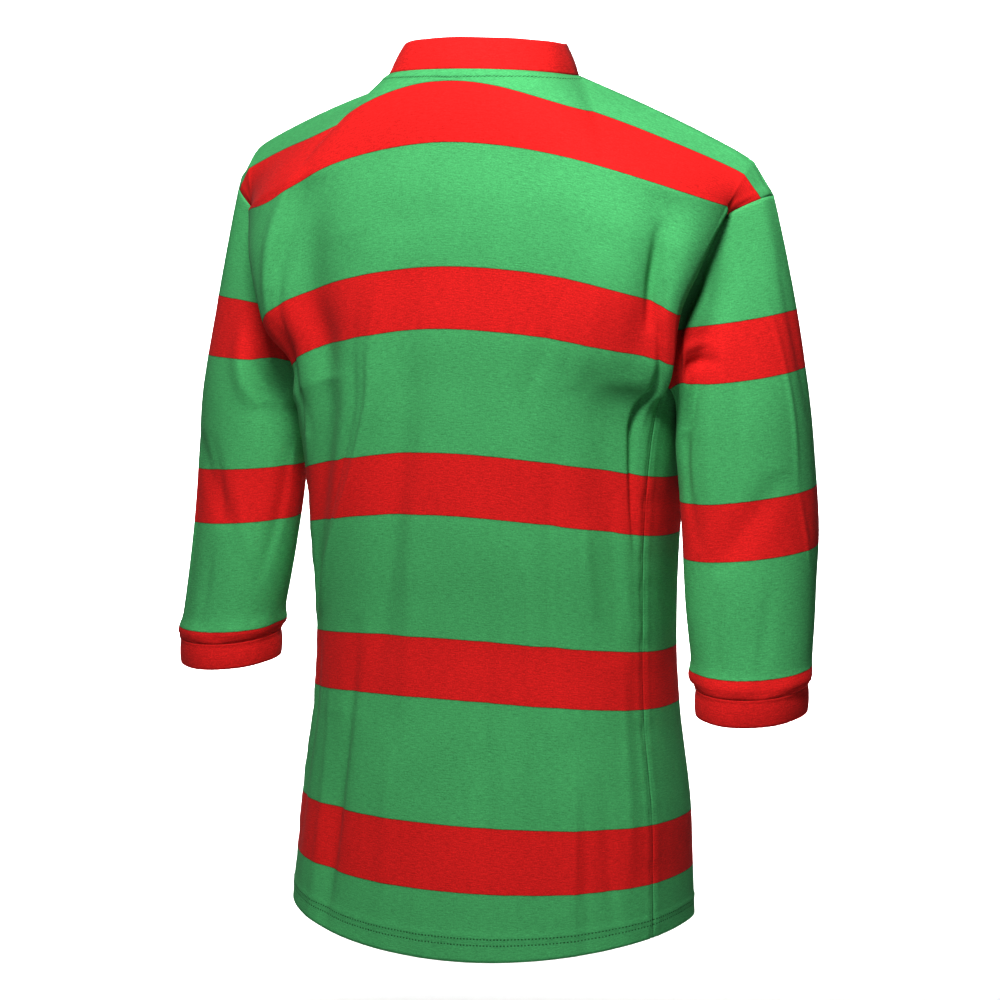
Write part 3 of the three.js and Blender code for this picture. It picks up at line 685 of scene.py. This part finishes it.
def sleeve(side, back, front):
    """A sleeve from the armhole that the two panels leave down to its cuff."""
    column = 0 if side < 0 else len(across_shares) - 1
    back_edge = back.points[:back.hole_rows + 1, column]
    front_edge = front.points[1:front.hole_rows, column][::-1]
    hole = np.concatenate([back_edge, front_edge]) * np.array([side, 1, 1])
    back_steps = len(back_edge) - 1
    front_steps = len(front_edge) + 1
    turns = np.concatenate([np.linspace(0, math.pi, back_steps + 1),
                            np.linspace(math.pi, 2 * math.pi, front_steps + 1)[1:-1]])
    middle = hole.mean(0)
    end = sleeve_point(SLEEVE_TOP, turns, side)
    below = sleeve_point(SLEEVE_TOP + CAP_AIM, turns, side)
    reach = np.linalg.norm(hole - end, axis=-1, keepdims=True)
    under = smoothstep(-hole[:, 2], UNDER_FROM, UNDER_TO)
    out = LEAVE_OUT + LEAVE_OUT_UNDER * under
    leave = unit(stack(out, (hole[:, 1] - middle[1]) / LEAVE_SPREAD, -1)) * reach * LEAVE_REACH
    arrive = unit(below - end) * reach
    s = np.linspace(0, 1, SLEEVE_CAP_STEPS + 1)[:-1, None, None]
    cap = ((2 * s ** 3 - 3 * s ** 2 + 1) * hole + (s ** 3 - 2 * s ** 2 + s) * leave
           + (3 * s ** 2 - 2 * s ** 3) * end + (s ** 3 - s ** 2) * arrive)
    falls = np.linspace(SLEEVE_TOP, SLEEVE_END, SLEEVE_STEPS + 1)[:, None]
    tube = sleeve_point(falls, turns[None, :], side)
    tube_length = SLEEVE_END - SLEEVE_TOP + CUFF_SEAM
    cloth = reach[:, 0] * CAP_LENGTH + tube_length
    along = np.concatenate([cloth + (tube_length - cloth) * s[..., 0],
                            np.broadcast_to(SLEEVE_END - falls, tube.shape[:2])])
    points = np.concatenate([cap, tube])
    points[..., 0] *= side
    grid = Grid(points, True, -side, along)
    degrees = np.degrees(turns)
    grid.turn = np.broadcast_to(np.where(degrees > 180, degrees - 360, degrees), along.shape)
    grid.fall = -points[..., 2]
    row = np.concatenate([s[:, 0, 0], 1 + np.linspace(0, 1, SLEEVE_STEPS + 1)])[:, None]
    edge = smoothstep(row, 0, SLEEVE_FOLD_ROWS["top"]) * (1 - smoothstep(row, SLEEVE_FOLD_ROWS["end"], 2))
    grid.lift(fold_lift(SLEEVE_FOLDS, grid.fall, grid.turn) * edge)
    grid.turns = turns
    dress_sleeve(grid, side)
    return grid


def dress_sleeve(grid, side):
    """Creases and seams of a sleeve, and the blousing over its cuff."""
    around = lengths_across(grid.points)
    grid.from_top = lengths_down(grid.points)
    from_end = grid.from_top[-1:] - grid.from_top
    table = SLEEVE_CREASES["left" if side > 0 else "right"]
    creases = crease_lift(table, grid.turn, grid.fall, SLEEVE_ROUND)
    # The rumple fades out along the outer line of the sleeve, where the grid closes on itself
    closing = smoothstep(180 - np.abs(180 - grid.turn % 360), 0, CLOSING)
    rumple = rumple_lift(around, grid.along, 1 + side) * closing
    seam = seam_lift(grid.from_top, around) * closing
    from_under = (grid.turn - UNDER_SEAM["turn"]) * SLEEVE_ROUND
    under = -UNDER_SEAM["depth"] * np.exp(-(from_under / UNDER_SEAM["reach"]) ** 2)
    wide = BLOUSE["wide"] * np.sin(np.radians(grid.turn * 5) + side)
    fine = BLOUSE["fine"] * np.sin(np.radians(grid.turn * 9))
    place = (from_end - BLOUSE["place"]) / BLOUSE["reach"]
    blouse = BLOUSE["height"] * (1 + wide + fine) * np.exp(-place ** 2)
    tuck = -BLOUSE["tuck"] * np.exp(-(from_end / BLOUSE["tuckReach"]) ** 2)
    behind = smoothstep(grid.turn, SINK["from"], SINK["full"])
    behind = behind * (1 - smoothstep(grid.turn, SINK["full"], SINK["last"]))
    sink = -SINK["depth"] * behind * np.exp(-((grid.from_top - SINK["place"]) / SINK["reach"]) ** 2)
    inside = smoothstep(grid.from_top, 0, SLEEVE_FADE["top"]) * smoothstep(from_end, 0, SLEEVE_FADE["end"])
    held = smoothstep(grid.from_top, 0, SLEEVE_FADE["seam"])
    ends = smoothstep(from_end, 0, SLEEVE_FADE["cuff"])
    grid.lift((creases + rumple + under) * inside + (seam + sink) * held + (blouse + tuck) * ends)


def band_waves(name, turn):
    """The waves round a cuff or the neckband, widest first."""
    return [height * np.sin(turn * times + start) for times, start, height in BAND_WAVES[name]]


def cuff(side, sleeve_grid):
    """A doubled band that goes on down from the sleeve's end."""
    top = sleeve_point(SLEEVE_END, sleeve_grid.turns, side)
    centre = top.mean(0)
    inward = -unit((top - centre) * np.array([1, 1, 0]))
    down = np.linspace(0, 1, BAND_STEPS + 1)[:, None, None]
    set_in = CUFF_SET_IN * (1 - down * CUFF_STEP["flare"]) * smoothstep(down, 0, CUFF_STEP["share"])
    points = top + inward * set_in
    points = points - np.array([0, 0, CUFF_DEPTH]) * down
    points[..., 0] *= side
    grid = Grid(points, True, -side, np.broadcast_to(-CUFF_DEPTH * down[..., 0], points.shape[:2]))
    grid.thick[:] = DOUBLED
    turn = sleeve_grid.turns[None, :] + side
    down = down[..., 0]
    bulge = CUFF_BULGE * np.sin(math.pi * down) ** CUFF_BULGE_POWER
    wide, fine = band_waves("cuff", turn)
    grid.lift(bulge + (wide + fine * down) * smoothstep(down, 0, UNEVEN_FROM))
    return grid


def neckband(back, front):
    """A doubled band that stands on the neckline and leans in."""
    middle = (len(across_shares) - 1) // 2
    columns = np.arange(middle - NECK_STEPS, middle + NECK_STEPS + 1)
    base = np.concatenate([back.points[0, columns], front.points[0, columns[::-1]][1:-1]])
    inward = unit((np.array(BAND_CENTRE) - base) * np.array([1, 1, 0]))
    front_share = np.clip((NECK_SIDE["y"] - base[:, 1]) / (NECK_SIDE["y"] - NECK_V["y"]), 0, 1)[:, None]
    up = np.linspace(0, 1, BAND_STEPS + 1)[:, None, None]
    points = base + inward * (BAND_LEAN + BAND_FRONT["lean"] * front_share) * up
    points = points + (BAND_HEIGHT - BAND_FRONT["drop"] * front_share) * up * np.array([0, 0, 1])
    grid = Grid(points, True, -1, np.broadcast_to(BAND_HEIGHT * up[..., 0], points.shape[:2]))
    grid.thick[:] = DOUBLED
    place = np.linspace(0, 2 * math.pi, points.shape[1], endpoint=False)[None, :]
    up = up[..., 0]
    bulge = BAND_BULGE * np.sin(math.pi * up * BAND_BULGE_SHARE)
    grid.lift((bulge + sum(band_waves("neck", place))) * smoothstep(up, 0, UNEVEN_FROM))
    return grid


# Meshes

# The distance from a seam where a piece has none, in millimetres
NO_SEAM = 1000.0


def shell(name, grid, material):
    """A closed thin wall: the outer face, the inner face and the rims between them.

    Its map "cloth" runs round and along the cloth, and "seams" holds how far each point is
    from the neck seam and from the side seam.
    """
    height, width = grid.points.shape[:2]
    outer = grid.points
    inner = outer - grid.normals() * grid.thick[..., None]
    corners = np.concatenate([outer.reshape(-1, 3), inner.reshape(-1, 3)]) * METRES
    across = lengths_across(outer)
    cloth = np.stack([across, grid.along], -1).reshape(-1, 2)
    nowhere = np.full(outer.shape[:2], NO_SEAM)
    from_seam = np.stack([getattr(grid, "from_neck", nowhere), getattr(grid, "from_side", nowhere)], -1)
    from_seam = from_seam.reshape(-1, 2)
    r, c = np.meshgrid(np.arange(height - 1), np.arange(width if grid.closed else width - 1), indexing="ij")
    r, c = r.ravel(), c.ravel()
    n = (c + 1) % width
    count = height * width
    face = np.stack([r * width + c, (r + 1) * width + c, (r + 1) * width + n, r * width + n], -1)
    lining = face[:, ::-1] + count
    c = np.arange(width if grid.closed else width - 1)
    n = (c + 1) % width
    last = (height - 1) * width
    rims = [np.stack([c, n, n + count, c + count], -1),
            np.stack([last + n, last + c, last + c + count, last + n + count], -1)]
    if not grid.closed:
        r = np.arange(height - 1)
        near, far = r * width, (r + 1) * width
        rims.append(np.stack([far, near, near + count, far + count], -1))
        rims.append(np.stack([near, far, far + count, near + count], -1) + width - 1)
    faces = np.concatenate([face, lining] + rims)
    if grid.outward > 0:
        faces = faces[:, ::-1]
    mesh = bpy.data.meshes.new(name)
    mesh.from_pydata(corners.tolist(), [], faces.tolist())
    mesh.polygons.foreach_set("use_smooth", np.ones(len(faces), bool))
    layer = mesh.uv_layers.new(name="cloth")
    loops = np.empty(len(mesh.loops), np.int32)
    mesh.loops.foreach_get("vertex_index", loops)
    layer.data.foreach_set("uv", (cloth[loops % count] * METRES).ravel())
    seams = mesh.uv_layers.new(name="seams")
    seams.data.foreach_set("uv", (from_seam[loops % count] * METRES).ravel())
    mesh.validate()
    mesh.materials.append(material)
    piece = bpy.data.objects.new(name, mesh)
    bpy.context.collection.objects.link(piece)
    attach(piece, "root")
    return piece


# Materials

class Nodes:
    """Short names for building a material's nodes."""

    def __init__(self, name):
        self.material = bpy.data.materials.new(name)
        self.material.use_nodes = True
        self.tree = self.material.node_tree
        self.shader = self.tree.nodes["Principled BSDF"]

    def add(self, kind, **values):
        node = self.tree.nodes.new(kind)
        for key, value in values.items():
            setattr(node, key, value)
        return node

    def link(self, start, end):
        self.tree.links.new(start, end)

    def math(self, operation, a, b=None):
        node = self.add("ShaderNodeMath", operation=operation)
        for i, value in enumerate((a, b)):
            if value is None:
                continue
            if hasattr(value, "links"):
                self.link(value, node.inputs[i])
            else:
                node.inputs[i].default_value = value
        return node.outputs[0]

    def noise(self, vector, scale, detail=2.0, rough=0.5):
        node = self.add("ShaderNodeTexNoise")
        node.inputs["Scale"].default_value = scale
        node.inputs["Detail"].default_value = detail
        node.inputs["Roughness"].default_value = rough
        self.link(vector, node.inputs["Vector"])
        return node.outputs["Fac"]

    def stretched(self, vector, scale):
        node = self.add("ShaderNodeMapping")
        node.inputs["Scale"].default_value = scale
        self.link(vector, node.inputs["Vector"])
        return node.outputs["Vector"]


GREEN = (0.085, 0.385, 0.148, 1)
RED = (0.63, 0.022, 0.021, 1)
# The marl's noises: waves to the metre, detail, roughness, how much each changes the tone and
# how much it raises the surface
MARL = {
    "streaks": ((150, 900, 1), 3.0, 0.65, 0.85, 0.6),
    "flecks": ((650, 950, 1), 1.0, 0.5, 0.65, 0.4),
    "clouds": ((14, 22, 1), 2.0, 0.5, 0.16, 0),
}
# A hoop's edge is a little darker, and wanders by a row or two of knitting, in millimetres
HOOP_EDGE = {"reach": 0.9, "depth": 0.5, "wander": 0.8}
SURFACE = {"Roughness": 0.9, "Specular IOR Level": 0.08, "Sheen Weight": 0.02, "Sheen Roughness": 0.5}
BUMP = {"Strength": 0.5, "Distance": 0.0005}
# Stitches: one row round the neck seam and two round the hem
NECK_STITCH = {"place": 7.5, "pitch": 3.0}
HEM_STITCHES = (746, 752)
HEM_STITCH_PITCH = 3.1
STITCH_SHARE = 0.5
STITCH_WIDTH = 1.1
STITCH_DARK = 0.8
STITCH_SINK = 1.2


def band_mask(n, value, low, high):
    """One between two lengths given in millimetres, nought elsewhere."""
    above = n.math("GREATER_THAN", value, low * METRES)
    under = n.math("LESS_THAN", value, high * METRES)
    return n.math("MULTIPLY", above, under)


def near(n, value, place, reach):
    """One at a length in millimetres, falling to nought over a reach."""
    away = n.math("ABSOLUTE", n.math("SUBTRACT", value, place * METRES))
    return n.math("MAXIMUM", n.math("SUBTRACT", 1.0, n.math("DIVIDE", away, reach * METRES)), 0.0)


def stitches(n, along, value, place, pitch):
    """A row of stitches: short dashes at a pitch along a line of cloth."""
    beat = n.math("FRACT", n.math("DIVIDE", along, pitch * METRES))
    dash = n.math("LESS_THAN", beat, STITCH_SHARE)
    return n.math("MULTIPLY", near(n, value, place, STITCH_WIDTH), dash)


def split_map(n, name):
    """The two coordinates of one of a piece's maps."""
    uv = n.add("ShaderNodeUVMap", uv_map=name)
    split = n.add("ShaderNodeSeparateXYZ")
    n.link(uv.outputs["UV"], split.inputs[0])
    return uv.outputs["UV"], split.outputs[0], split.outputs[1]


def cloth_material(name, hoops, all_red=False, stitched=False):
    """Marled jersey: green with red hoops, or red all over."""
    n = Nodes(name)
    place, around, along = split_map(n, "cloth")
    level = 1.0
    height = 0.0
    noises = {}
    for word, (waves, detail, rough, tone, raised) in MARL.items():
        noises[word] = n.noise(n.stretched(place, waves), 1.0, detail, rough)
        level = n.math("ADD", n.math("MULTIPLY", n.math("SUBTRACT", noises[word], 0.5), tone), level)
        if raised:
            height = n.math("ADD", n.math("MULTIPLY", noises[word], raised), height)
    mask = 1.0 if all_red else 0.0
    wander = n.math("MULTIPLY", n.math("SUBTRACT", noises["streaks"], 0.5), HOOP_EDGE["wander"] * METRES)
    edge = n.math("ADD", along, wander)
    for low, high in hoops:
        mask = n.math("ADD", band_mask(n, edge, low, high), mask)
        for end in (low, high):
            dark = n.math("MULTIPLY", near(n, along, end, HOOP_EDGE["reach"]), -HOOP_EDGE["depth"])
            level = n.math("ADD", level, dark)
    base = n.add("ShaderNodeMix", data_type="RGBA")
    base.inputs["A"].default_value = GREEN
    base.inputs["B"].default_value = RED
    if hoops:
        n.link(mask, base.inputs["Factor"])
    else:
        base.inputs["Factor"].default_value = mask
    if stitched:
        _, from_neck, _ = split_map(n, "seams")
        stitch_rows = [stitches(n, around, from_neck, NECK_STITCH["place"], NECK_STITCH["pitch"])]
        stitch_rows += [stitches(n, around, along, row, HEM_STITCH_PITCH) for row in HEM_STITCHES]
        for row in stitch_rows:
            level = n.math("SUBTRACT", level, n.math("MULTIPLY", row, STITCH_DARK))
            height = n.math("SUBTRACT", height, n.math("MULTIPLY", row, STITCH_SINK))
    tone = n.add("ShaderNodeHueSaturation")
    n.link(level, tone.inputs["Value"])
    n.link(base.outputs["Result"], tone.inputs["Color"])
    n.link(tone.outputs["Color"], n.shader.inputs["Base Color"])
    for socket, value in SURFACE.items():
        n.shader.inputs[socket].default_value = value
    bump = n.add("ShaderNodeBump")
    for socket, value in BUMP.items():
        bump.inputs[socket].default_value = value
    n.link(height, bump.inputs["Height"])
    n.link(bump.outputs["Normal"], n.shader.inputs["Normal"])
    return n.material


# Stage

WORLD_LIGHT = 0.07
CONTRAST = 0.82
# A pale floor that curves up into a wall behind the shirt, in metres
FLOOR = {"level": -1.25, "half": 9.0, "near": -6.0, "bend": 3.4, "radius": 1.2, "height": 4.0}
FLOOR_STEPS = 16
FLOOR_COLOUR = (0.9, 0.9, 0.9, 1)
FLOOR_ROUGHNESS = 0.95
# Softboxes: place, aim and size in metres, power in watts and spread in degrees
LIGHTS = {
    "key": ((-0.34, 1.04, 0.98), (0, 0, -0.15), (0.5, 0.4), 43, 180),
    "backdrop": ((1.35, -2.65, 1.25), (1.75, -3.45, -1.25), (2.8, 3.4), 150, 110),
}


def make_world():
    """An even white fill, and the view's contrast."""
    world = bpy.data.worlds.new("world")
    bpy.context.scene.world = world
    world.use_nodes = True
    fill = world.node_tree.nodes["Background"]
    fill.inputs["Color"].default_value = (1, 1, 1, 1)
    fill.inputs["Strength"].default_value = WORLD_LIGHT
    bpy.context.scene.view_settings.view_transform = "Standard"
    bpy.context.scene.view_settings.gamma = CONTRAST


def area_light(name, place, aim, size, power, spread):
    data = bpy.data.lights.new(name, "AREA")
    data.shape = "RECTANGLE"
    data.size, data.size_y = size
    data.energy = power
    data.spread = math.radians(spread)
    light = bpy.data.objects.new(name, data)
    bpy.context.collection.objects.link(light)
    light.location = place
    light.rotation_mode = "QUATERNION"
    light.rotation_quaternion = (Vector(aim) - Vector(place)).to_track_quat("-Z", "Y")


def make_floor():
    """The floor and the wall that it curves up into, away from the camera."""
    turned = math.radians(CAMERA_AZIMUTH)
    away = np.array([-math.sin(turned), math.cos(turned), 0])
    across = np.array([away[1], -away[0], 0])
    arc = np.linspace(0, math.pi / 2, FLOOR_STEPS + 1)
    reach = np.concatenate([[FLOOR["near"]], FLOOR["bend"] + FLOOR["radius"] * np.sin(arc),
                            [FLOOR["bend"] + FLOOR["radius"]]])
    rise = np.concatenate([[0], FLOOR["radius"] * (1 - np.cos(arc)), [FLOOR["height"]]])
    corners = [away * r + across * side + np.array([0, 0, FLOOR["level"] + z])
               for r, z in zip(reach, rise) for side in (-FLOOR["half"], FLOOR["half"])]
    faces = [(2 * i, 2 * i + 1, 2 * i + 3, 2 * i + 2) for i in range(len(reach) - 1)]
    mesh = bpy.data.meshes.new("floor")
    mesh.from_pydata([tuple(corner) for corner in corners], [], faces)
    mesh.polygons.foreach_set("use_smooth", np.ones(len(faces), bool))
    floor = bpy.data.objects.new("floor", mesh)
    bpy.context.collection.objects.link(floor)
    n = Nodes("floor")
    n.shader.inputs["Base Color"].default_value = FLOOR_COLOUR
    n.shader.inputs["Roughness"].default_value = FLOOR_ROUGHNESS
    mesh.materials.append(n.material)


make_camera()
back = panel(True)
front = panel(False)
body_cloth = cloth_material("body_jersey", BODY_HOOPS, stitched=True)
rib = cloth_material("red_rib", [], all_red=True)
pieces = {
    "back_panel": shell("back", back, body_cloth),
    "front_panel": shell("front", front, body_cloth),
}
for side, word in ((1, "left"), (-1, "right")):
    arm = sleeve(side, back, front)
    sleeve_cloth = cloth_material(word + "_sleeve_jersey", SLEEVE_HOOPS[word])
    pieces[word + "_sleeve"] = shell(word + "_arm", arm, sleeve_cloth)
    pieces[word + "_cuff"] = shell(word + "_band", cuff(side, arm), rib)
pieces["neckband"] = shell("neck_band", neckband(back, front), rib)
for node, piece in pieces.items():
    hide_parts(node)

make_world()
for light, setting in LIGHTS.items():
    area_light(light, *setting)
make_floor()
